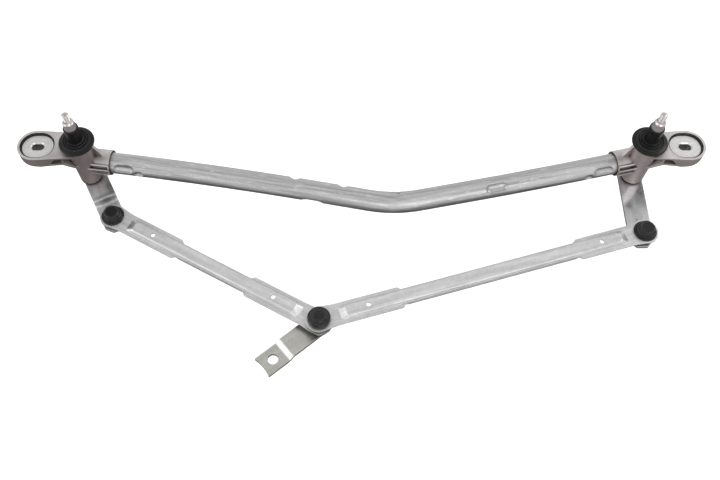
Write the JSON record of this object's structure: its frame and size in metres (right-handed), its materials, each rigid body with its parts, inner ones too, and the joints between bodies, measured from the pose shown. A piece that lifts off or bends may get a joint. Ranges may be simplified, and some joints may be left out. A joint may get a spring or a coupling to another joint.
{
  "type": "windshield wiper linkage",
  "caption": "Twin-pivot wiper linkage: bowed frame tube between pivot housings with slotted mounting eyes, threaded shafts, levers and ball-jointed rods meeting at a motor crank.",
  "frame": {"origin": "midway between the two mounting slots, on the top faces of their bushings", "axes": "+Z along the wiper shafts, out of the car; +X from the left mounting eye to the right one; -Y towards the motor crank"},
  "size_m": [0.796, 0.2711, 0.1445],
  "materials": {
    "tube": "zinc plated, satin, drawn lengthwise",
    "housing": "die-cast, satin",
    "grommet": "satin",
    "bushing": "zinc plated, satin",
    "boot": "satin, moulded",
    "bearing": "sintered bronze, matt",
    "shaft": "ground bright",
    "washer": "satin",
    "circlip": "phosphated, dark",
    "o_ring": "satin",
    "ball_stud": "polished",
    "link": "zinc plated pressed sheet, satin",
    "lever": "zinc plated, smooth",
    "crank": "yellowish zinc plated, satin",
    "socket": "black, moulded"
  },
  "bodies": {
    "frame": {"frame_tube": "tube", "left_pivot_housing": "housing", "left_mount_grommet": "grommet", "left_mount_bushing": "bushing", "left_shaft_boot": "boot", "left_upper_bush": "bearing", "left_lower_bush": "bearing", "right_pivot_housing": "housing", "right_mount_grommet": "grommet", "right_mount_bushing": "bushing", "right_shaft_boot": "boot", "right_upper_bush": "bearing", "right_lower_bush": "bearing"},
    "left_pivot": {"left_wiper_shaft": "shaft", "left_pivot_lever": "lever", "left_lever_ball_stud": "ball_stud", "left_circlip": "circlip", "left_thrust_washer": "washer", "left_o_ring": "o_ring"},
    "right_pivot": {"right_wiper_shaft": "shaft", "right_pivot_lever": "lever", "right_lever_ball_stud": "ball_stud", "right_circlip": "circlip", "right_thrust_washer": "washer", "right_o_ring": "o_ring"},
    "left_link": {"left_link_rod": "link", "left_outer_ball_socket": "socket", "left_inner_ball_socket": "socket"},
    "right_link": {"right_link_rod": "link", "right_outer_ball_socket": "socket", "right_inner_ball_socket": "socket"},
    "crank": {"motor_crank_arm": "crank", "crank_ball_stud": "ball_stud"}
  },
  "joints": [
    {"name": "left_wiper_sweep", "type": "hinge", "parent": "frame", "child": "left_pivot", "pos_m": [-0.3275, 0, 0], "axis": [0, 0, 1], "range_deg": [-70, 10]},
    {"name": "right_wiper_sweep", "type": "hinge", "parent": "frame", "child": "right_pivot", "pos_m": [0.331, 0, 0], "axis": [0, 0, 1], "range_deg": [-57, 9]},
    {"name": "left_rod_ball", "type": "hinge", "parent": "left_pivot", "child": "left_link", "pos_m": [-0.2956, -0.0551, -0.0625], "axis": [0, 0, 1], "range_deg": [-11, 74]},
    {"name": "right_rod_ball", "type": "hinge", "parent": "right_pivot", "child": "right_link", "pos_m": [0.3324, -0.0808, -0.0545], "axis": [0, 0, 1], "range_deg": [-9, 60]},
    {"name": "crank_ball", "type": "hinge", "parent": "left_link", "child": "crank", "pos_m": [-0.0484, -0.1922, -0.0675], "axis": [0, 0, 1], "continuous": true}
  ],
  "couplings": [
    {"joint": "right_wiper_sweep", "follows": "left_wiper_sweep", "ratio": 0.8025},
    {"joint": "left_rod_ball", "follows": "left_wiper_sweep", "ratio": -1.0463},
    {"joint": "right_rod_ball", "follows": "left_wiper_sweep", "ratio": -0.8379}
  ]
}
